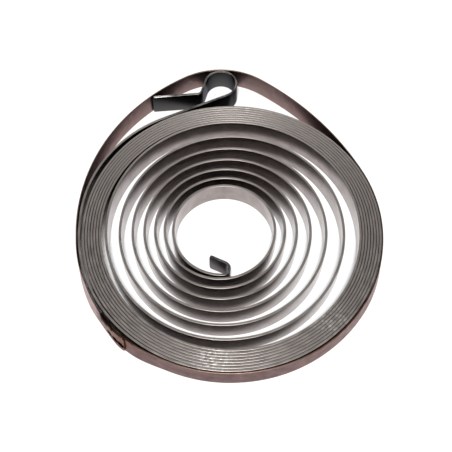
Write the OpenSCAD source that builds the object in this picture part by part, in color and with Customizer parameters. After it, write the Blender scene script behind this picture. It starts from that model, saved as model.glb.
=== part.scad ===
// Recoil starter spring: a spiral of flat spring strip in its shipping band.
// The coil lies flat: Z is the coil axis, Z = 0 the underside, and the origin
// is the axis that the tight outer turns are wound on. Millimetres throughout.

/* [Strip] */
// Width of the strip, which is the height of the coil
strip_w = 8; // [5:0.5:14]
// Thickness of the strip
strip_t = 0.76; // [0.5:0.02:0.9]
// Radius of the corners at both ends of the strip
end_corner_r = 0.7; // [0.3:0.1:1.5]

/* [Open turns] */
// Radius of the first turn, to the middle of the strip
eye_r = 15; // [12:0.5:18]
// Distance of the first turn's middle from the pack axis, to the left
eye_shift = 2.75; // [0:0.25:3]
// Distance of the open turns' middle below the pack axis
eye_drop = 0.5; // [0:0.1:1]
// Number of turns that stand open
open_turns = 6; // [4:1:7]
// Share of the spacing that is even, where the rest widens outwards
even_share = 0.62; // [0.5:0.02:0.9]
// Amount by which the last open turn is raised at the bottom
open_lift = 0.35; // [0:0.05:0.6]

/* [Pack] */
// Radius at which the tight pack starts, to the middle of the strip
pack_r = 39.9; // [38:0.1:48]
// Number of tight turns
pack_turns = 7; // [3:1:9]
// Air between tight turns
pack_gap = 0.11; // [0.06:0.01:0.16]
// Air by which the outermost turn stands off the pack at the left
stand_off = 0.4; // [0.1:0.1:0.8]

/* [Inner hook] */
// Distance of the hairpin to the left of the first turn's middle
hook_back = 0.5; // [0.1:0.1:1]
// Inside radius of the hairpin bend
hook_in_r = 1.8; // [1.2:0.1:2.6]
// Angle that the hairpin turns through
hook_turn = 155; // [140:5:175]
// Length of the flat tab behind the hairpin
hook_tab = 5.2; // [3:0.2:7]

/* [Outer loop] */
// Direction of the straight lead off the pack, from the X axis
lead_angle = 24.5; // [18:0.5:32]
// Straight run up the left side before the lead bends in
lead_rise = 2.6; // [1:0.2:4]
// Length of the straight lead
lead_len = 23; // [20:0.5:26]
// Radius of the eye of the loop
loop_eye_r = 4.9; // [3.5:0.1:6]
// Angle that the loop turns through
loop_turn = 230; // [215:1:240]
// Length of the straight neck under the loop
neck_len = 4.6; // [3:0.2:6]
// Inside radius of the bend from neck to tail
neck_in_r = 1.3; // [0.8:0.1:2]
// Direction of the tail, from the X axis
tail_angle = 185.7; // [180:0.1:190]

/* [Retaining band] */
// Thickness of the band
band_t = 0.4; // [0.3:0.05:0.6]
// Width of the band
band_w = 8; // [5:0.5:14]
// Air between the band and the coil, loop and tail
band_gap = 0.05; // [0.05:0.05:0.3]
// Radius of the crown over the loop
crown_r = 24; // [16:1:28]
// Radius of the long left flank
left_flank_r = 63; // [58:1:90]
// Radius of the long right flank
right_flank_r = 93; // [80:1:140]
// Length of the welded lap
lap_len = 11.2; // [8:0.2:16]
// Angle along the coil from the foot of the left flank to the inner end of the lap
lap_angle = 25.5; // [20:0.5:32]
// Air by which the band bows off the coil at the lap
lap_bow = 0.75; // [0:0.05:1.5]
// Air by which the band stands off the coil at the lower right
side_slack = 0.6; // [0:0.05:1.2]
// Number of spot welds in the lap
weld_count = 3; // [1:1:3]
// Distance between spot welds
weld_pitch = 2.5; // [1.6:0.1:3]
// Distance of the row of welds past the middle of the lap
weld_shift = 1.8; // [0:0.1:2]
// Height of the row of welds above the underside
weld_height = 3; // [2:0.1:4]
// Radius of the dimple that a weld leaves
weld_r = 0.6; // [0.3:0.05:0.7]
// Depth of that dimple
weld_depth = 0.12; // [0.05:0.01:0.2]

/* [Hidden] */

// The pitch of the pack, and the half turns between crossings of the X axis
pack_pitch = strip_t + pack_gap;
half_t = strip_t / 2;
first_tight = 2 * open_turns + 1;
last_tight = first_tight + 2 * pack_turns;

// Sides of rounds and balls, steps of drawn arcs in degrees, overrun of cuts
round_sides = 90;
ball_sides = 32;
corner_step = 30;
bend_step = 6;
ring_step = 3;
flank_step = 2;
cut_past = 1;

// Crossings are held to whole hundredths, so neighbouring arcs share a face
draw_step = 0.01;
function snap(x) = round(x / draw_step) * draw_step;

// Distance from the axis at which the strip crosses the X axis after h half
// turns: even h on the left side, odd h on the right
function open_reach(u) = eye_r + (pack_r + pack_pitch - eye_r) * u * (even_share + (1 - even_share) * u);
function open_shift(h) = (h % 2 == 0 ? 1 : -1) * eye_shift * (1 - pow(h / first_tight, 2));
function open_cross(h) = snap(open_reach(h / first_tight) + open_shift(h));
function pack_cross(h) = snap(pack_r) + (h - first_tight) * pack_pitch / 2;
function cross(h) = h < first_tight ? open_cross(h) : pack_cross(h);

// Half turn from crossing h to the next one
function half_r(h) = (cross(h) + cross(h + 1)) / 2;
function half_x(h) = (h % 2 == 0 ? 1 : -1) * (cross(h + 1) - cross(h)) / 2;

// The first turn ends in a lower, smaller quarter that brings the hook to the left
first_x = half_x(0) - hook_back;
first_y = -eye_drop - hook_back;
first_r = half_r(0) - hook_back;

// The last open half turn is two quarters, raised at the bottom
join_h = first_tight - 1;
lift_r = half_r(join_h - 1);
lift_x = half_x(join_h - 1) + open_lift;
lift_y = 2 * open_lift - eye_drop;

// The turn that joins the pack: up the left side, then two quarters
join_x = half_x(first_tight + 1);
join_out_r = cross(first_tight) - join_x;
join_in_r = join_x + cross(join_h);
join_y = join_out_r - join_in_r;

// The outermost turn leaves the pack between the bottom and the left
last_x = half_x(last_tight);
last_r = half_r(last_tight);
leave_x = -(cross(last_tight + 1) + stand_off);
leave_r = last_x - leave_x;
leave_y = leave_r - last_r;

// Unit vector, points along an arc, and meeting point of two circles
function dir(a) = [cos(a), sin(a)];
function arc(c, r, from, to, step) =
    let (n = ceil(abs(to - from) / step))
    [for (i = [0 : n]) c + r * dir(from + (to - from) * i / n)];
function bearing(v) = atan2(v[1], v[0]);
function whole_turn(a) = (a + 360) % 360;
function circles_meet(p, rp, q, rq, side) =
    let (d = norm(q - p))
    let (a = (rp * rp - rq * rq + d * d) / (2 * d))
    let (u = (q - p) / d)
    p + a * u + side * sqrt(rp * rp - a * a) * [u[1], -u[0]];
function flip(list) = [for (i = [len(list) - 1 : -1 : 0]) list[i]];

// Hook: from the bottom of the first turn round the hairpin to the tab
hook_r = hook_in_r + half_t;
hook_mid = [first_x, first_y - first_r + hook_r];
function hook_end(s) = hook_mid + (hook_r - s) * dir(hook_turn - 90) + hook_tab * dir(hook_turn);
function hook_side(s) = concat(
    arc(hook_mid, hook_r - s, -90, hook_turn - 90, bend_step),
    [hook_end(s)]
);

// Outer end: up the left side, into the lead, round the loop, neck and tail
lead_out = dir(lead_angle + 90);
lead_reach = half_r(last_tight - 1) + pack_pitch + pack_gap / 2;
lead_y = leave_y + lead_rise;
lead_r = (lead_reach - [leave_x, lead_y] * lead_out) / (1 - sin(lead_angle));
lead_mid = [leave_x + lead_r, lead_y];
eye_trim = 0.02;
loop_r = loop_eye_r + half_t - eye_trim;
loop_mid = lead_mid + (lead_r + loop_r) * lead_out + lead_len * dir(lead_angle);
neck_angle = lead_angle + loop_turn;
neck_r = neck_in_r + half_t;
neck_mid = loop_mid + (loop_r + neck_r) * dir(neck_angle - 90) + neck_len * dir(neck_angle);
tail_from = neck_mid + neck_in_r * dir(tail_angle + 90);
function end_side(s) = concat(
    [[leave_x - s, leave_y]],
    arc(lead_mid, lead_r + s, 180, 90 + lead_angle, ring_step),
    arc(loop_mid, loop_r - s, lead_angle - 90, neck_angle - 90, bend_step),
    arc(neck_mid, neck_r + s, neck_angle + 90, tail_angle + 90, bend_step),
    [tail_end(s)]
);
function tail_end(s) = neck_mid + (neck_r + s) * dir(tail_angle + 90) + tail_len * dir(tail_angle);

// Band: round the coil, crown over the loop, and two long flanks between
band_right = cross(last_tight) + half_t + band_gap + band_t / 2;
band_left = half_t + band_gap + band_t / 2 - leave_x;
band_r = (band_right + band_left) / 2;
band_mid = [(band_right - band_left) / 2, 0];
crown_top = loop_mid + [0, loop_r + half_t + band_gap + band_t / 2];
crown_mid = crown_top - [0, crown_r];
lead_wrap_r = lead_r + half_t + band_gap + band_t / 2;
lead_flank_mid = circles_meet(lead_mid, left_flank_r - lead_wrap_r, crown_mid, left_flank_r - crown_r, 1);
coil_flank_mid = circles_meet(band_mid, left_flank_r - band_r, crown_mid, left_flank_r - crown_r, 1);
right_mid = circles_meet(band_mid, right_flank_r - band_r, crown_mid, right_flank_r - crown_r, -1);

// The left flank starts on the bend of the lead, or lower down on the coil
on_lead = whole_turn(bearing(lead_mid - lead_flank_mid)) < 180;
left_mid = on_lead ? lead_flank_mid : coil_flank_mid;
left_low = whole_turn(bearing((on_lead ? lead_mid : band_mid) - left_mid));
coil_from = on_lead ? 180 : left_low;
left_high = bearing(crown_mid - left_mid);
right_high = bearing(crown_mid - right_mid);
right_low = bearing(band_mid - right_mid);

// The tail runs on until its corner has the band's clearance
tail_room = left_flank_r - band_t / 2 - band_gap;
tail_gap = tail_from - left_mid;
tail_along = tail_gap * dir(tail_angle);
tail_len = sqrt(tail_room * tail_room - tail_gap * tail_gap + tail_along * tail_along) - tail_along;

// Lap: the inner layer ends at lap_from, the outer one lap_len further on.
// Both bow off the coil there, and the band is slack at the lower right
lap_from = coil_from + lap_angle;
lap_turn = turn_of(lap_len);
lap_end = lap_from + lap_turn;
rise_span = 16;
bow_past = 9.5;
bow_near = 18;
bow_far = 20;
slack_span = 50;
slack_back = 21;
slack_at = right_low + 360 - slack_span - slack_back;
function turn_of(len) = len / band_r * 180 / PI;
function bump(x) = abs(x) < 1 ? (1 + cos(180 * x)) / 2 : 0;
function lap_rise(a) = lap_bow * bump(a < 0 ? a / bow_near : a / bow_far);
function bow(a) = lap_rise(a - lap_from - bow_past) + side_slack * bump((a - slack_at) / slack_span);
function over(a) = band_t * (a < lap_from ? bump((lap_from - a) / rise_span) : 1);

// Point of the band at angle a round the coil, on the first or second layer
function wrap(a, r, layer) = band_mid + (r + bow(a) + layer * over(a)) * dir(a);
function wrap_run(from, to, r, layer) =
    let (n = ceil((to - from) / ring_step))
    [for (i = [0 : n]) wrap(from + (to - from) * i / n, r, layer)];

// Loop round the band at s from its middle, stepping in at the angle given
function band_side(s, step_at) = concat(
    arc(crown_mid, crown_r + s, right_high, left_high, ring_step),
    arc(left_mid, left_flank_r + s, left_high, left_low, flank_step),
    on_lead ? arc(lead_mid, lead_wrap_r + s, left_low, 180, ring_step) : [],
    wrap_run(coil_from, step_at, band_r + s, 1),
    wrap_run(step_at, right_low + 360, band_r + s, 0),
    arc(right_mid, right_flank_r + s, right_low, right_high, flank_step)
);

// Spot welds: a row of shallow dimples, worked out from the ball that cuts them
weld_half = (weld_count - 1) * weld_pitch / 2;
weld_room = lap_len / 2 - weld_half - weld_r;
weld_from = lap_from + lap_turn / 2 + turn_of(min(weld_shift, weld_room) - weld_half);
weld_ball_r = (weld_r * weld_r + weld_depth * weld_depth) / (2 * weld_depth);
function weld_mid(i) =
    let (a = weld_from + turn_of(i * weld_pitch))
    wrap(a, band_r + band_t / 2 + weld_ball_r - weld_depth, 1);

module arc_wall(mid, r, from, sweep) {
    translate([mid[0], mid[1], 0])
        rotate([0, 0, from])
            rotate_extrude(angle = sweep, $fn = round_sides)
                translate([r - half_t, 0])
                    square([strip_t, strip_w]);
}

// Half turn h, about a middle at height y: even h above it, odd h below
module half_turn(h, y) {
    arc_wall([half_x(h), y], half_r(h), h % 2 == 0 ? 0 : 180, 180);
}

// Cutter that rounds both corners of a strip's end at tip, facing angle a
module end_corners(tip, a) {
    rim = arc([-end_corner_r, end_corner_r], end_corner_r, 0, -90, corner_step);
    last = len(rim) - 1;
    past = [cut_past, -cut_past];
    cut = concat([rim[0] + rim[0] - rim[1]], rim, [rim[last] + rim[last] - rim[last - 1]], [past]);
    translate([tip[0], tip[1], 0])
        rotate([90, 0, a])
            linear_extrude(3 * strip_t, center = true) {
                polygon(cut);
                translate([0, strip_w])
                    mirror([0, 1])
                        polygon(cut);
            }
}

module inner_hook() {
    difference() {
        linear_extrude(strip_w)
            polygon(concat(hook_side(half_t), flip(hook_side(-half_t))));
        end_corners(hook_end(0), hook_turn);
    }
}

module open_coil() {
    half_turn(0, -eye_drop);
    translate([-cross(0) - half_t, first_y, 0])
        cube([strip_t, hook_back, strip_w]);
    arc_wall([first_x, first_y], first_r, 180, 90);
    for (h = [1 : join_h - 2]) half_turn(h, -eye_drop);
    arc_wall([lift_x, -eye_drop], lift_r - open_lift, 270, 90);
    arc_wall([lift_x, lift_y], lift_r + open_lift, 180, 90);
}

module joining_turn() {
    translate([-cross(join_h) - half_t, lift_y, 0])
        cube([strip_t, join_y - lift_y, strip_w]);
    arc_wall([join_x, join_y], join_in_r, 90, 90);
    arc_wall([join_x, 0], join_out_r, 0, 90);
}

module tight_pack() {
    for (h = [first_tight : last_tight - 1]) half_turn(h, 0);
    arc_wall([last_x, 0], last_r, 270, 90);
    arc_wall([last_x, leave_y], leave_r, 180, 90);
}

module outer_loop() {
    difference() {
        linear_extrude(strip_w)
            polygon(concat(end_side(half_t), flip(end_side(-half_t))));
        translate([loop_mid[0], loop_mid[1], -cut_past])
            cylinder(r = loop_eye_r, h = strip_w + 2 * cut_past, $fn = round_sides);
        end_corners(tail_end(0), tail_angle);
    }
}

module spring_strip() {
    color("silver")
    union() {
        inner_hook();
        open_coil();
        joining_turn();
        tight_pack();
        outer_loop();
    }
}

module retaining_band() {
    color("saddlebrown")
    difference() {
        linear_extrude(band_w)
            polygon(band_side(band_t / 2, lap_end));
        translate([0, 0, -cut_past])
            linear_extrude(band_w + 2 * cut_past)
                polygon(band_side(-band_t / 2, lap_from));
        for (i = [0 : weld_count - 1])
            translate([weld_mid(i)[0], weld_mid(i)[1], weld_height])
                sphere(r = weld_ball_r, $fn = ball_sides);
    }
}

spring_strip();
retaining_band();
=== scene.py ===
import bpy
import math
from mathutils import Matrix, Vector


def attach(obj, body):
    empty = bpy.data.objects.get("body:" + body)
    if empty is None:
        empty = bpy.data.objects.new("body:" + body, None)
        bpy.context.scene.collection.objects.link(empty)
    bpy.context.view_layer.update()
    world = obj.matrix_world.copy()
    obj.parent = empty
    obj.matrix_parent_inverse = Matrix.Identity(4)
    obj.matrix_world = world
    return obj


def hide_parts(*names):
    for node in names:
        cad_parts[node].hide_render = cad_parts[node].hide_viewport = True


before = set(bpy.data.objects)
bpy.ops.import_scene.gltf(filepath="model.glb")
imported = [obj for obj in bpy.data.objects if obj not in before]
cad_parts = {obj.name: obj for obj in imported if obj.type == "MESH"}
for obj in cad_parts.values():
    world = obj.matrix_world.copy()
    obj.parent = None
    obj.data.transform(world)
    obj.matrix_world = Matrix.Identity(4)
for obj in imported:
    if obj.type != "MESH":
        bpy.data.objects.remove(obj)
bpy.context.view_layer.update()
mm = 0.001
print("frame loaded:", sorted(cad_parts))


# small helpers for node trees
def addNode(tree, kind, inputs=None, **settings):
    node = tree.nodes.new(kind)
    for name, value in settings.items():
        setattr(node, name, value)
    for name, value in (inputs or {}).items():
        socket = node.inputs[name]
        if isinstance(value, bpy.types.NodeSocket):
            tree.links.new(value, socket)
        else:
            socket.default_value = value
    return node


def mathNode(tree, operation, a, b=0.0, clamp=False):
    node = addNode(tree, "ShaderNodeMath", {0: a, 1: b}, operation=operation, use_clamp=clamp)
    return node.outputs[0]


def mapRange(tree, value, low, high, toLow=0.0, toHigh=1.0, smooth=False):
    node = addNode(tree, "ShaderNodeMapRange", {"Value": value, "From Min": low, "From Max": high,
                                                "To Min": toLow, "To Max": toHigh})
    node.interpolation_type = "SMOOTHSTEP" if smooth else "LINEAR"
    return node.outputs["Result"]


def mixColour(tree, factor, first, second):
    node = addNode(tree, "ShaderNodeMix", data_type="RGBA")
    for index, value in ((0, factor), (6, first), (7, second)):
        if isinstance(value, bpy.types.NodeSocket):
            tree.links.new(value, node.inputs[index])
        else:
            node.inputs[index].default_value = value if index == 0 else (*value, 1.0)
    return node.outputs[2]


def mixValue(tree, factor, first, second):
    return addNode(tree, "ShaderNodeMix", {0: factor, 2: first, 3: second}, data_type="FLOAT").outputs[0]


# plane geometry in millimetres, angles in degrees
def compass(angle):
    return Vector((math.cos(math.radians(angle)), math.sin(math.radians(angle))))


def bearing(v):
    return math.degrees(math.atan2(v.y, v.x))


def arcPath(mid, radius, start, stop, sag=0.006):
    step = math.degrees(2 * math.acos(1 - sag / radius))
    count = max(2, math.ceil(abs(stop - start) / step))
    return [Vector(mid) + radius * compass(start + (stop - start) * i / count) for i in range(count + 1)]


def bump(x):
    return (1 + math.cos(math.pi * x)) / 2 if abs(x) < 1 else 0.0


def rampValue(table, x):
    for (a, u), (b, v) in zip(table, table[1:]):
        if a <= x <= b:
            t = (x - a) / (b - a)
            return u + (v - u) * t * t * (3 - 2 * t)
    return 0.0


def joinRuns(runs, gap=0.02):
    path = []
    for point in (p for run in runs for p in run):
        if not path or (point - path[-1]).length > gap:
            path.append(point)
    return path


strip = {
    "width": 8.0, "thickness": 0.76, "edgeRound": 0.11, "cornerRound": 0.7,
    "eyeRadius": 15.0, "eyeShift": 2.75, "eyeDrop": 0.5, "openTurns": 6, "evenShare": 0.62, "openLift": 0.35,
    "packRadius": 39.9, "packTurns": 7, "packGap": 0.11, "standOff": 0.4,
    "hookBack": 0.5, "hookInside": 1.8, "hookTurn": 155.0, "hookTab": 5.2,
    "leadAngle": 24.5, "leadRise": 2.6, "leadLength": 23.0, "loopEye": 4.9, "eyeTrim": 0.02, "loopTurn": 230.0,
    "neckLength": 4.6, "neckInside": 1.3, "tailAngle": 185.7,
    "hookHeat": 8.0, "hookFade": 12.0, "hookBlue": 0.65, "loopHeat": 56.0, "loopFade": 18.0,  # blued ends
    "sway": 0.015, "waves": (0.022, 0.05, 0.079), "phase": 500,  # how far pack turns wander sideways, and how often
    "swayIn": ((38.5, 0), (40, 1), (45.5, 1), (46.5, 0)),  # radius, then share of the wander
    "tipHighlight": 5.0,  # painted highlight on the top edge at the tip of the tail
}

band = {
    "width": 8.0, "thickness": 0.4, "edgeRound": 0.1, "cornerRound": 1.2, "gap": 0.05,
    "crownRadius": 24.0, "leftFlank": 63.0, "rightFlank": 93.0,
    "lapLength": 11.2, "lapAngle": 25.5, "lapRise": 16.0,
    "endReach": 1.2, "endStep": 0.2,  # closer points near the band's ends, in degrees
    # angle round the coil, then how far the band stands off there, and how much farther its foot does
    "stand": ((181, 0), (193, 0.15), (207, 0), (214, 0), (225, 0.6), (231, 0.5), (246, 0), (270, 0), (305, 0.25),
              (328, 0.2), (352, 0)),
    "foot": ((184, 0), (206, 0.88), (222, 0.3), (229, 0.7), (232, 0.6), (250, 0), (300, 0), (344, 0.65), (356, 0)),
    # angle, then scorch of the top edge: 1 is burnt, -1 is bare metal
    "heat": ((182, 0), (189, 0.85), (196, 0.85), (203, -1), (213, -1), (218, 1), (222, 0.95), (225, 0.8),
             (231, 0.75), (236, 0.4), (252, 0.2), (275, 0), (305, 0.45), (345, 0.45), (360, 0)),
}

weld = {"count": 3, "pitch": 2.5, "shift": 1.8, "height": 3.0, "radius": 0.7, "depth": 0.2, "halo": 3.0}

halfT = strip["thickness"] / 2
pitch = strip["thickness"] + strip["packGap"]
firstTight = 2 * strip["openTurns"] + 1
lastTight = firstTight + 2 * strip["packTurns"]


def crossing(h):
    if h >= firstTight:
        return strip["packRadius"] + (h - firstTight) * pitch / 2
    u = h / firstTight
    even = strip["evenShare"]
    reach = strip["eyeRadius"] + (strip["packRadius"] + pitch - strip["eyeRadius"]) * u * (even + (1 - even) * u)
    side = 1 if h % 2 == 0 else -1
    return round(reach + side * strip["eyeShift"] * (1 - u * u), 2)


def halfRadius(h):
    return (crossing(h) + crossing(h + 1)) / 2


def halfShift(h):
    return (1 if h % 2 == 0 else -1) * (crossing(h + 1) - crossing(h)) / 2


def halfTurn(h, y):
    start = 180 if h % 2 == 0 else 0
    return arcPath((halfShift(h), y), halfRadius(h), start, start - 180)


# where the strip leaves the pack, and the bends of its outer end
leaveX = -(crossing(lastTight + 1) + strip["standOff"])
lastX = halfShift(lastTight)
leaveRadius = lastX - leaveX
leaveY = leaveRadius - halfRadius(lastTight)
leadOut = compass(strip["leadAngle"] + 90)
leadY = leaveY + strip["leadRise"]
leadReach = halfRadius(lastTight - 1) + pitch + strip["packGap"] / 2
leadRadius = (leadReach - Vector((leaveX, leadY)).dot(leadOut)) / (1 - math.sin(math.radians(strip["leadAngle"])))
leadMid = Vector((leaveX + leadRadius, leadY))
loopRadius = strip["loopEye"] + halfT - strip["eyeTrim"]
loopMid = leadMid + (leadRadius + loopRadius) * leadOut + strip["leadLength"] * compass(strip["leadAngle"])
neckAngle = strip["leadAngle"] + strip["loopTurn"]
neckRadius = strip["neckInside"] + halfT
neckMid = loopMid + (loopRadius + neckRadius) * compass(neckAngle - 90) + strip["neckLength"] * compass(neckAngle)

# the band's circles
wrapOut = halfT + band["gap"] + band["thickness"] / 2
bandRight = crossing(lastTight) + wrapOut
bandLeft = wrapOut - leaveX
bandRadius = (bandRight + bandLeft) / 2
bandMid = Vector(((bandRight - bandLeft) / 2, 0))
crownMid = loopMid + Vector((0, loopRadius + wrapOut - band["crownRadius"]))


def circlesMeet(p, rp, q, rq, side):
    d = (q - p).length
    a = (rp * rp - rq * rq + d * d) / (2 * d)
    u = (q - p) / d
    return p + a * u + side * math.sqrt(rp * rp - a * a) * Vector((u.y, -u.x))


leftMid = circlesMeet(bandMid, band["leftFlank"] - bandRadius,
                      crownMid, band["leftFlank"] - band["crownRadius"], 1)
rightMid = circlesMeet(bandMid, band["rightFlank"] - bandRadius,
                       crownMid, band["rightFlank"] - band["crownRadius"], -1)
leftLow = bearing(bandMid - leftMid) % 360
leftHigh = bearing(crownMid - leftMid)
rightHigh = bearing(crownMid - rightMid)
rightLow = bearing(bandMid - rightMid)
lapFrom = leftLow + band["lapAngle"]
lapEnd = lapFrom + math.degrees(band["lapLength"] / bandRadius)

tailDir = compass(strip["tailAngle"])
tailGap = neckMid + strip["neckInside"] * compass(strip["tailAngle"] + 90) - leftMid
tailRoom = band["leftFlank"] - band["thickness"] / 2 - band["gap"]
tailAlong = tailGap.dot(tailDir)
tailLength = math.sqrt(tailRoom ** 2 - tailGap.length_squared + tailAlong ** 2) - tailAlong


def endSteps(tip, inward, reach=0.9, count=6):
    return [tip + inward * reach * (i / count) ** 2 for i in range(count + 1)]


def stripPath():
    joinH = firstTight - 1
    drop = -strip["eyeDrop"]
    hookR = strip["hookInside"] + halfT
    firstMid = Vector((halfShift(0), drop)) - Vector((1, 1)) * strip["hookBack"]
    firstRadius = halfRadius(0) - strip["hookBack"]
    hookMid = firstMid + Vector((0, hookR - firstRadius))
    tabDir = compass(strip["hookTurn"])
    tabFoot = hookMid + hookR * compass(strip["hookTurn"] - 90)
    liftX = halfShift(joinH - 1) + strip["openLift"]
    liftR = halfRadius(joinH - 1)
    liftY = 2 * strip["openLift"] + drop
    joinX = halfShift(firstTight + 1)
    joinOut = crossing(firstTight) - joinX
    joinIn = joinX + crossing(joinH)
    tailFoot = neckMid + neckRadius * compass(strip["tailAngle"] + 90)
    tailTip = tailFoot + tailLength * tailDir
    runs = [endSteps(tabFoot + strip["hookTab"] * tabDir, -tabDir)]
    runs.append(arcPath(hookMid, hookR, strip["hookTurn"] - 90, -90))
    runs.append(arcPath(firstMid, firstRadius, 270, 180))
    runs += [halfTurn(h, drop) for h in range(joinH - 1)]
    runs.append(arcPath((liftX, drop), liftR - strip["openLift"], 0, -90))
    runs.append(arcPath((liftX, liftY), liftR + strip["openLift"], 270, 180))
    runs.append(arcPath((joinX, joinOut - joinIn), joinIn, 180, 90))
    runs.append(arcPath((joinX, 0), joinOut, 90, 0))
    runs += [halfTurn(h, 0) for h in range(firstTight, lastTight)]
    runs.append(arcPath((lastX, 0), halfRadius(lastTight), 0, -90))
    runs.append(arcPath((lastX, leaveY), leaveRadius, 270, 180))
    runs.append(arcPath(leadMid, leadRadius, 180, 90 + strip["leadAngle"]))
    runs.append(arcPath(loopMid, loopRadius, strip["leadAngle"] - 90, neckAngle - 90))
    runs.append(arcPath(neckMid, neckRadius, neckAngle + 90, strip["tailAngle"] + 90))
    runs.append(endSteps(tailTip, -tailDir)[::-1])
    return joinRuns(runs)


def wrapPoint(angle, layer):
    over = bump((lapFrom - angle) / band["lapRise"]) if angle < lapFrom else 1.0
    return bandMid + (bandRadius + layer * over * band["thickness"]) * compass(angle)


# how far out of its plain path the band is at an angle; low is 0 at the top edge and 1 at the foot
def bandOut(angle, low=0.0):
    return rampValue(band["stand"], angle) + low * rampValue(band["foot"], angle)


def wrapRun(start, stop, layer, step=1.5):
    count = math.ceil((stop - start) / step)
    return [wrapPoint(start + (stop - start) * i / count, layer) for i in range(count + 1)]


# middle of each weld on the outer face of the lap
def weldPlaces():
    row = [weld["shift"] + weld["pitch"] * (i - (weld["count"] - 1) / 2) for i in range(weld["count"])]
    turned = [(lapFrom + lapEnd) / 2 + math.degrees(x / bandRadius) for x in row]
    low = 1 - weld["height"] / band["width"]
    flat = [wrapPoint(a, 1) + compass(a) * (band["thickness"] / 2 + bandOut(a, low)) for a in turned]
    return [Vector((p.x, p.y, weld["height"])) for p in flat], [compass(a) for a in turned]


def bandPath():
    near, fine = band["endReach"], band["endStep"]
    runs = [wrapRun(lapFrom, lapFrom + near, 0, fine), wrapRun(lapFrom + near, rightLow + 360, 0)]
    runs.append(arcPath(rightMid, band["rightFlank"], rightLow, rightHigh))
    runs.append(arcPath(crownMid, band["crownRadius"], rightHigh, leftHigh))
    runs.append(arcPath(leftMid, band["leftFlank"], leftHigh, leftLow))
    runs += [wrapRun(leftLow, lapEnd - near, 1), wrapRun(lapEnd - near, lapEnd, 1, fine)]
    return joinRuns(runs)


# path of a strip as a chain of edges; each point carries the lean of its foot and its scorch
def chainObject(name, path, leans, heats):
    mesh = bpy.data.meshes.new(name)
    mesh.from_pydata([(p.x * mm, p.y * mm, 0) for p in path], [(i, i + 1) for i in range(len(path) - 1)], [])
    mesh.attributes.new("lean", "FLOAT_VECTOR", "POINT")
    mesh.attributes.new("scorch", "FLOAT", "POINT")
    for i, (v, h) in enumerate(zip(leans, heats)):
        mesh.attributes["lean"].data[i].vector = (v.x * mm, v.y * mm, 0)
        mesh.attributes["scorch"].data[i].value = h
    chain = bpy.data.objects.new(name, mesh)
    bpy.context.scene.collection.objects.link(chain)
    return chain


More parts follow.
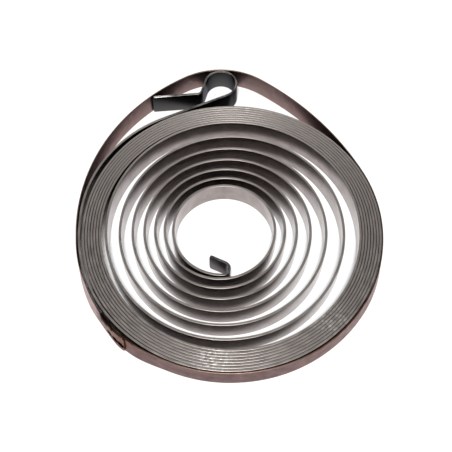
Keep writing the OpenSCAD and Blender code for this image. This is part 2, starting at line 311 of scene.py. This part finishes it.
# sweep of a rounded strip section along a chain, with rounded end corners
def sweepTree():
    tree = bpy.data.node_groups.new("flatStripSweep", "GeometryNodeTree")
    face = tree.interface
    face.new_socket("Path", in_out="INPUT", socket_type="NodeSocketGeometry")
    for name in ("Width", "Thickness", "Edge Round", "Corner Round"):
        face.new_socket(name, in_out="INPUT", socket_type="NodeSocketFloat")
    face.new_socket("Finish", in_out="INPUT", socket_type="NodeSocketMaterial")
    face.new_socket("Strip", in_out="OUTPUT", socket_type="NodeSocketGeometry")
    given = addNode(tree, "NodeGroupInput").outputs
    curve = addNode(tree, "GeometryNodeMeshToCurve", {0: given["Path"]})
    upright = addNode(tree, "GeometryNodeSetCurveNormal", {0: curve.outputs[0]}, mode="Z_UP")
    station = addNode(tree, "GeometryNodeSplineParameter").outputs["Length"]
    whole = addNode(tree, "GeometryNodeSplineLength").outputs["Length"]
    toEnd = mathNode(tree, "MINIMUM", station, mathNode(tree, "SUBTRACT", whole, station))
    marked = addNode(tree, "GeometryNodeStoreNamedAttribute",
                     {"Geometry": upright.outputs[0], "Name": "along", "Value": station},
                     data_type="FLOAT", domain="POINT")
    marked = addNode(tree, "GeometryNodeStoreNamedAttribute",
                     {"Geometry": marked.outputs[0], "Name": "toEnd", "Value": toEnd},
                     data_type="FLOAT", domain="POINT")
    section = addNode(tree, "GeometryNodeCurvePrimitiveQuadrilateral",
                      {"Width": given["Thickness"], "Height": given["Width"]})
    rounded = addNode(tree, "GeometryNodeFilletCurve",
                      {"Curve": section.outputs[0], "Radius": given["Edge Round"], "Count": 3}, mode="POLY")
    swept = addNode(tree, "GeometryNodeCurveToMesh",
                    {"Curve": marked.outputs[0], "Profile Curve": rounded.outputs[0], "Fill Caps": True})
    half = mathNode(tree, "MULTIPLY", given["Width"], 0.5)
    height = addNode(tree, "ShaderNodeSeparateXYZ",
                     {0: addNode(tree, "GeometryNodeInputPosition").outputs[0]}).outputs["Z"]
    share = mathNode(tree, "DIVIDE", height, half)  # -1 at the foot, 1 at the top
    kept = addNode(tree, "GeometryNodeInputNamedAttribute", {"Name": "toEnd"}, data_type="FLOAT").outputs[0]
    near = mathNode(tree, "SUBTRACT", 1.0, mathNode(tree, "DIVIDE", kept, given["Corner Round"]), clamp=True)
    across = mathNode(tree, "SUBTRACT", 1.0, mathNode(tree, "MULTIPLY", near, near))
    fall = mathNode(tree, "SUBTRACT", 1.0, mathNode(tree, "SQRT", across))
    drop = mathNode(tree, "MULTIPLY", mathNode(tree, "MULTIPLY", fall, given["Corner Round"]), share)
    rise = mathNode(tree, "SUBTRACT", half, drop)
    lean = addNode(tree, "GeometryNodeInputNamedAttribute", {"Name": "lean"}, data_type="FLOAT_VECTOR").outputs[0]
    low = mathNode(tree, "MULTIPLY", mathNode(tree, "SUBTRACT", 1.0, share), 0.5)  # 1 at the foot, 0 at the top
    tipped = addNode(tree, "ShaderNodeVectorMath", {0: lean, "Scale": low}, operation="SCALE").outputs[0]
    lifted = addNode(tree, "ShaderNodeVectorMath",
                     {0: tipped, 1: addNode(tree, "ShaderNodeCombineXYZ", {"Z": rise}).outputs[0]}).outputs[0]
    placed = addNode(tree, "GeometryNodeSetPosition", {"Geometry": swept.outputs[0], "Offset": lifted})
    real = addNode(tree, "GeometryNodeRealizeInstances", {0: placed.outputs[0]})
    smooth = addNode(tree, "GeometryNodeSetShadeSmooth", {0: real.outputs[0]})
    finished = addNode(tree, "GeometryNodeSetMaterial", {0: smooth.outputs[0], "Material": given["Finish"]})
    addNode(tree, "NodeGroupOutput", {0: finished.outputs[0]})
    return tree


# balls that cut the weld dimples, one at each point of the chain
def ballTree():
    tree = bpy.data.node_groups.new("weldBalls", "GeometryNodeTree")
    tree.interface.new_socket("Places", in_out="INPUT", socket_type="NodeSocketGeometry")
    tree.interface.new_socket("Radius", in_out="INPUT", socket_type="NodeSocketFloat")
    tree.interface.new_socket("Finish", in_out="INPUT", socket_type="NodeSocketMaterial")
    tree.interface.new_socket("Balls", in_out="OUTPUT", socket_type="NodeSocketGeometry")
    given = addNode(tree, "NodeGroupInput").outputs
    ball = addNode(tree, "GeometryNodeMeshIcoSphere", {"Radius": given["Radius"], "Subdivisions": 4})
    spread = addNode(tree, "GeometryNodeInstanceOnPoints", {"Points": given["Places"], "Instance": ball.outputs[0]})
    real = addNode(tree, "GeometryNodeRealizeInstances", {0: spread.outputs[0]})
    done = addNode(tree, "GeometryNodeSetMaterial", {0: real.outputs[0], "Material": given["Finish"]})
    addNode(tree, "NodeGroupOutput", {0: done.outputs[0]})
    return tree


def bakeTree(source, tree, values, name, cutter=None):
    modifier = source.modifiers.new("build", "NODES")
    modifier.node_group = tree
    for item in tree.interface.items_tree:
        if item.in_out == "INPUT" and item.name in values:
            modifier[item.identifier] = values[item.name]
    if cutter:
        cut = source.modifiers.new("dimples", "BOOLEAN")
        cut.operation, cut.solver, cut.object = "DIFFERENCE", "EXACT", cutter
    plain = source.modifiers.new("edgeShade", "WEIGHTED_NORMAL")
    plain.weight = 100
    ready = source.evaluated_get(bpy.context.evaluated_depsgraph_get())
    mesh = bpy.data.meshes.new_from_object(ready)
    mesh.name = name
    piece = bpy.data.objects.new(name, mesh)
    bpy.context.scene.collection.objects.link(piece)
    bpy.data.objects.remove(source)
    print(name, len(mesh.vertices), "points", len(mesh.polygons), "faces")
    return piece


def metalShader(name):
    material = bpy.data.materials.new(name)
    material.use_nodes = True
    tree = material.node_tree
    shader = tree.nodes["Principled BSDF"]
    shader.inputs["Metallic"].default_value = 1.0
    return material, tree, shader


# coordinates that follow a strip: metres along it, and height
def stripCoordinates(tree, alongScale, heightScale):
    along = addNode(tree, "ShaderNodeAttribute", attribute_name="along").outputs["Fac"]
    place = addNode(tree, "ShaderNodeTexCoord").outputs["Object"]
    z = addNode(tree, "ShaderNodeSeparateXYZ", {0: place}).outputs["Z"]
    where = addNode(tree, "ShaderNodeCombineXYZ", {"X": mathNode(tree, "MULTIPLY", along, alongScale),
                                                   "Y": mathNode(tree, "MULTIPLY", z, heightScale)})
    return where.outputs[0], z


def stripNoise(tree, scales, detail):
    where, z = stripCoordinates(tree, *scales)
    noise = addNode(tree, "ShaderNodeTexNoise", {"Vector": where, "Scale": 1.0, "Detail": detail})
    return noise.outputs["Fac"], z


# distance in metres to the nearest of some spots given in millimetres
def nearestSpot(tree, spots):
    place = addNode(tree, "ShaderNodeTexCoord").outputs["Object"]
    nearest = 1.0
    for spot in spots:
        away = addNode(tree, "ShaderNodeVectorMath", {0: place, 1: spot * mm}, operation="DISTANCE")
        nearest = mathNode(tree, "MINIMUM", away.outputs["Value"], nearest)
    return nearest


# fine lines that the rolling of the strip left
grain = {"strength": 0.12, "height": 0.02}


def addGrain(tree, shader, rolling):
    lines = addNode(tree, "ShaderNodeBump",
                    {"Height": rolling, "Strength": grain["strength"], "Distance": grain["height"] * mm})
    tree.links.new(lines.outputs[0], shader.inputs["Normal"])


def edgeMask(tree, z, width, depth):
    away = mathNode(tree, "ABSOLUTE", mathNode(tree, "SUBTRACT", z, width * mm / 2))
    return mapRange(tree, away, (width / 2 - depth) * mm, (width / 2 - depth / 3) * mm, smooth=True)


springFinish = {
    "faceDark": (0.245, 0.212, 0.206), "faceLight": (0.325, 0.282, 0.272), "edge": (0.405, 0.362, 0.338),
    "bluedFoot": (0.1, 0.096, 0.095), "bluedTop": (0.025, 0.026, 0.028), "bluedGlance": (0.4, 0.4, 0.42),
    "bluedEdge": (0.075, 0.074, 0.07), "rubbedEdge": (0.26, 0.25, 0.235), "rubbedSpan": (0.4, 0.62),
    "tipHighlightEdge": (0.6, 0.58, 0.55), "tipHighlightFade": 1.5,
    # painted highlights on the rim where the edges catch the light: where, how far from there, and which part of the
    # noise
    "paintedGlint": (0.7, 0.67, 0.63), "paintedGlintAt": ((-5.0, -43.0), (29.6, -31.0)), "paintedGlintFade": (2.0, 7.0),
    "paintedGlintSpan": (0.45, 0.62),
    # noise per metre along the strip and up it
    "lineScale": (25.0, 9000.0), "cloudScale": (260.0, 260.0), "highlightDashScale": (700.0, 0.0),
    "lineSpan": (0.3, 0.7), "cloudSpan": (0.35, 0.65),
    "edgeDepth": 0.2, "rough": 0.16, "roughSpread": 0.08, "edgeRough": (0.32, 0.42),
}


def springSteel(length):
    material, tree, shader = metalShader("rolledSpringSteel")
    look = springFinish
    rolling, z = stripNoise(tree, look["lineScale"], 3.0)
    clouds, _ = stripNoise(tree, look["cloudScale"], 4.0)
    highlightDashes, _ = stripNoise(tree, look["highlightDashScale"], 2.0)
    along = addNode(tree, "ShaderNodeAttribute", attribute_name="along").outputs["Fac"]
    heat = addNode(tree, "ShaderNodeAttribute", attribute_name="scorch").outputs["Fac"]
    tone = mixColour(tree, mapRange(tree, clouds, *look["cloudSpan"]), look["faceDark"], look["faceLight"])
    # blued ends, darker towards the top
    upward = mapRange(tree, z, 0.0, strip["width"] * mm)
    tone = mixColour(tree, heat, tone, mixColour(tree, upward, look["bluedFoot"], look["bluedTop"]))
    # the rim: plain, blued and rubbed, with a painted highlight at the tail's tip and painted glints near two spots
    rubbed = mixColour(tree, mapRange(tree, clouds, *look["rubbedSpan"]), look["bluedEdge"], look["rubbedEdge"])
    rim = mixColour(tree, mapRange(tree, heat, 0.0, strip["hookBlue"]), look["edge"], rubbed)
    # painted highlight: the top edge near the tail's tip is painted brighter than the steel edges elsewhere
    tipHighlightFrom = length - strip["tipHighlight"]
    tipHighlight = mapRange(tree, along, (tipHighlightFrom - look["tipHighlightFade"]) * mm, tipHighlightFrom * mm)
    rim = mixColour(tree, tipHighlight, rim, look["tipHighlightEdge"])
    # painted highlight: the rim is brightened in dashes near two spots where the edges catch the light
    away = nearestSpot(tree, [Vector((x, y, strip["width"])) for x, y in look["paintedGlintAt"]])
    near = mapRange(tree, away, *[d * mm for d in look["paintedGlintFade"]], 1.0, 0.0)
    paintedGlint = mathNode(tree, "MULTIPLY", mapRange(tree, highlightDashes, *look["paintedGlintSpan"]), near)
    rim = mixColour(tree, paintedGlint, rim, look["paintedGlint"])
    edge = edgeMask(tree, z, strip["width"], look["edgeDepth"])
    tree.links.new(mixColour(tree, edge, tone, rim), shader.inputs["Base Color"])
    rough = mapRange(tree, rolling, *look["lineSpan"], look["rough"], look["rough"] + look["roughSpread"])
    edgeRough = mapRange(tree, clouds, *look["cloudSpan"], *look["edgeRough"])
    tree.links.new(mixValue(tree, edge, rough, edgeRough), shader.inputs["Roughness"])
    tree.links.new(mixColour(tree, heat, (1, 1, 1), look["bluedGlance"]), shader.inputs["Specular Tint"])
    addGrain(tree, shader, rolling)
    return material


bandFinish = {
    "clean": (0.112, 0.078, 0.078), "tint": (0.076, 0.05, 0.049), "tintSpan": (0.35, 0.7),
    "straw": (0.11, 0.058, 0.032), "strawSpan": (0.35, 0.6), "burnt": (0.02, 0.012, 0.009), "burntSpan": (0.7, 0.95),
    "bare": (0.3, 0.24, 0.232), "bareSpan": (-0.4, 0.4), "edge": (0.2, 0.13, 0.1), "edgeDepth": 0.45,
    "glance": (0.88, 0.75, 0.74), "burntGlance": (0.25, 0.2, 0.18),
    "heatDown": (2.0, 6.5), "heatShare": (0.3, 1.0),  # heights between which the scorch of the top edge fades
    "haloHeat": 1.15, "patches": 0.9,  # scorch at a weld, and how much noise breaks up the scorch
    "paintedFloorReflection": (0.24, 0.175, 0.165), "floorReflectionFrom": (5.0, 38.0),  # painted reflection of the floor on the foot of the free part, and where along Y it grows
    "lineScale": (30.0, 7000.0), "cloudScale": (330.0, 380.0),  # noise per metre along the band and up it
    "rough": 0.26, "roughSpread": 0.15, "roughSpan": (0.3, 0.7),
}


def tintedSteel():
    material, tree, shader = metalShader("heatTintedSteel")
    look = bandFinish
    rolling, z = stripNoise(tree, look["lineScale"], 3.0)
    clouds, _ = stripNoise(tree, look["cloudScale"], 5.0)
    heat = addNode(tree, "ShaderNodeAttribute", attribute_name="scorch").outputs["Fac"]
    upper = mapRange(tree, z, *[h * mm for h in look["heatDown"]], *look["heatShare"])
    halo = mapRange(tree, nearestSpot(tree, weldPlaces()[0]), weld["radius"] * mm, weld["halo"] * mm,
                    look["haloHeat"], 0.0)
    scorch = mathNode(tree, "MAXIMUM", mathNode(tree, "MULTIPLY", heat, upper), halo)
    uneven = mathNode(tree, "MULTIPLY", mathNode(tree, "SUBTRACT", clouds, 0.5), look["patches"])
    patchy = mathNode(tree, "ADD", scorch, uneven)
    tone = mixColour(tree, mapRange(tree, clouds, *look["tintSpan"]), look["clean"], look["tint"])
    # painted reflection of the floor: the free part of the band is lighter towards its foot
    place = addNode(tree, "ShaderNodeTexCoord").outputs["Object"]
    y = addNode(tree, "ShaderNodeSeparateXYZ", {0: place}).outputs["Y"]
    free = mapRange(tree, y, *[d * mm for d in look["floorReflectionFrom"]])
    free = mathNode(tree, "MULTIPLY", free, mapRange(tree, z, 0.0, band["width"] * mm, 1.0, 0.0))
    tone = mixColour(tree, free, tone, look["paintedFloorReflection"])
    tone = mixColour(tree, edgeMask(tree, z, band["width"], look["edgeDepth"]), tone, look["edge"])
    bare = mapRange(tree, mathNode(tree, "ADD", heat, clouds), *look["bareSpan"], 1.0, 0.0)
    tone = mixColour(tree, bare, tone, look["bare"])
    tone = mixColour(tree, mapRange(tree, patchy, *look["strawSpan"], smooth=True), tone, look["straw"])
    black = mapRange(tree, patchy, *look["burntSpan"], smooth=True)
    tree.links.new(mixColour(tree, black, tone, look["burnt"]), shader.inputs["Base Color"])
    rough = mapRange(tree, clouds, *look["roughSpan"], look["rough"], look["rough"] + look["roughSpread"])
    tree.links.new(rough, shader.inputs["Roughness"])
    glance = mixColour(tree, black, look["glance"], look["burntGlance"])
    tree.links.new(glance, shader.inputs["Specular Tint"])
    addGrain(tree, shader, rolling)
    return material


sweep = sweepTree()

# spring strip
points = stripPath()
turns = [0.0]
for a, b in zip(points, points[1:]):
    turns.append(turns[-1] + (b - a).length)
swayed = []
for p, s in zip(points, turns):
    wander = sum(math.sin(s * k + strip["phase"] * k) for k in strip["waves"]) / len(strip["waves"])
    swayed.append(p + p.normalized() * strip["sway"] * wander * rampValue(strip["swayIn"], p.length))
heats = [max(strip["hookBlue"] - max(0, s - strip["hookHeat"]) / strip["hookFade"],
             1 - max(0, turns[-1] - s - strip["loopHeat"]) / strip["loopFade"], 0) for s in turns]
chain = chainObject("stripChain", swayed, [Vector((0, 0))] * len(points), heats)
springStrip = bakeTree(chain, sweep, {
    "Width": strip["width"] * mm, "Thickness": strip["thickness"] * mm, "Edge Round": strip["edgeRound"] * mm,
    "Corner Round": strip["cornerRound"] * mm, "Finish": springSteel(turns[-1])}, "springStrip")
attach(springStrip, "root")
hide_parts("spring_strip")

# retaining band
points = bandPath()
angles = [bearing(p - bandMid) % 360 for p in points]
points = [p + compass(a) * bandOut(a) for p, a in zip(points, angles)]
leans = [compass(a) * rampValue(band["foot"], a) for a in angles]
heats = [rampValue(band["heat"], a) for a in angles]
brown = tintedSteel()
spots, outward = weldPlaces()
ballRadius = (weld["radius"] ** 2 + weld["depth"] ** 2) / (2 * weld["depth"])
centres = bpy.data.meshes.new("weldPoints")
ballOut = ballRadius - weld["depth"]
centres.from_pydata([(p + Vector((*d, 0)) * ballOut) * mm for p, d in zip(spots, outward)], [], [])
ballPoints = bpy.data.objects.new("weldPoints", centres)
bpy.context.scene.collection.objects.link(ballPoints)
balls = bakeTree(ballPoints, ballTree(), {"Radius": ballRadius * mm, "Finish": brown}, "weldBalls")
chain = chainObject("bandChain", points, leans, heats)
retainingBand = bakeTree(chain, sweep, {
    "Width": band["width"] * mm, "Thickness": band["thickness"] * mm, "Edge Round": band["edgeRound"] * mm,
    "Corner Round": band["cornerRound"] * mm, "Finish": brown}, "retainingBand", balls)
bpy.data.objects.remove(balls)
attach(retainingBand, "root")
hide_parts("retaining_band")
print("pieces done")

# floor, light and camera
stage = {
    "floorSize": 12.0, "floorWhite": 0.9, "floorRough": 0.9, "floorDrop": 0.02, "fill": 0.12,
    "target": (-1.55, 0.46, 8.0), "elevation": 61.2, "swing": 0.2, "distance": 273.2,
    "focal": 885.5, "picture": 452, "sensor": 36.0, "clip": (0.01, 10.0),
}


def makeFloor():
    side = stage["floorSize"] / 2
    mesh = bpy.data.meshes.new("floor")
    mesh.from_pydata([(-side, -side, 0), (side, -side, 0), (side, side, 0), (-side, side, 0)], [], [(0, 1, 2, 3)])
    floor = bpy.data.objects.new("floor", mesh)
    floor.location.z = -stage["floorDrop"] * mm
    bpy.context.scene.collection.objects.link(floor)
    material = bpy.data.materials.new("paleFloor")
    material.use_nodes = True
    shader = material.node_tree.nodes["Principled BSDF"]
    shader.inputs["Base Color"].default_value = (*[stage["floorWhite"]] * 3, 1)
    shader.inputs["Roughness"].default_value = stage["floorRough"]
    shader.inputs["Specular IOR Level"].default_value = 0.0
    mesh.materials.append(material)


def softLight(name, place, aim, size, power):
    data = bpy.data.lights.new(name, "AREA")
    data.shape = "RECTANGLE"
    data.size, data.size_y = size
    data.energy = power
    light = bpy.data.objects.new(name, data)
    light.location = place
    light.rotation_euler = (Vector(aim) - Vector(place)).to_track_quat("-Z", "Y").to_euler()
    bpy.context.scene.collection.objects.link(light)


def makeCamera():
    data = bpy.data.cameras.new("camera")
    data.sensor_width = stage["sensor"]
    data.lens = stage["sensor"] * stage["focal"] / stage["picture"]
    data.clip_start, data.clip_end = stage["clip"]
    camera = bpy.data.objects.new("camera", data)
    tilt, swing = math.radians(stage["elevation"]), math.radians(stage["swing"])
    away = Vector((math.sin(swing) * math.cos(tilt), -math.cos(swing) * math.cos(tilt), math.sin(tilt)))
    camera.location = (Vector(stage["target"]) + stage["distance"] * away) * mm
    camera.rotation_euler = (math.pi / 2 - tilt, 0, swing)
    bpy.context.scene.collection.objects.link(camera)
    bpy.context.scene.camera = camera


makeFloor()
lamps = {
    "nearElevation": 69.0, "nearDistance": 0.47, "nearSize": (0.1, 0.1), "nearPower": 1.5,
    "farElevation": 68.0, "farDistance": 4.0, "farSize": (0.9, 0.9), "farPower": 90.0,
    "backElevation": 140.0, "backDistance": 1.6, "backSize": (1.0, 0.5), "backPower": 3.4,
}
for side in ("near", "far", "back"):
    lift = math.radians(lamps[side + "Elevation"])
    reach = lamps[side + "Distance"]
    softLight(side, (0, -reach * math.cos(lift), reach * math.sin(lift)), (0, 0, 0),
              lamps[side + "Size"], lamps[side + "Power"])
world = bpy.data.worlds.new("studio")
world.use_nodes = True
world.node_tree.nodes["Background"].inputs["Color"].default_value = (1, 1, 1, 1)
world.node_tree.nodes["Background"].inputs["Strength"].default_value = stage["fill"]
bpy.context.scene.world = world
bpy.context.scene.view_settings.view_transform = "Standard"
makeCamera()
print("stage done")
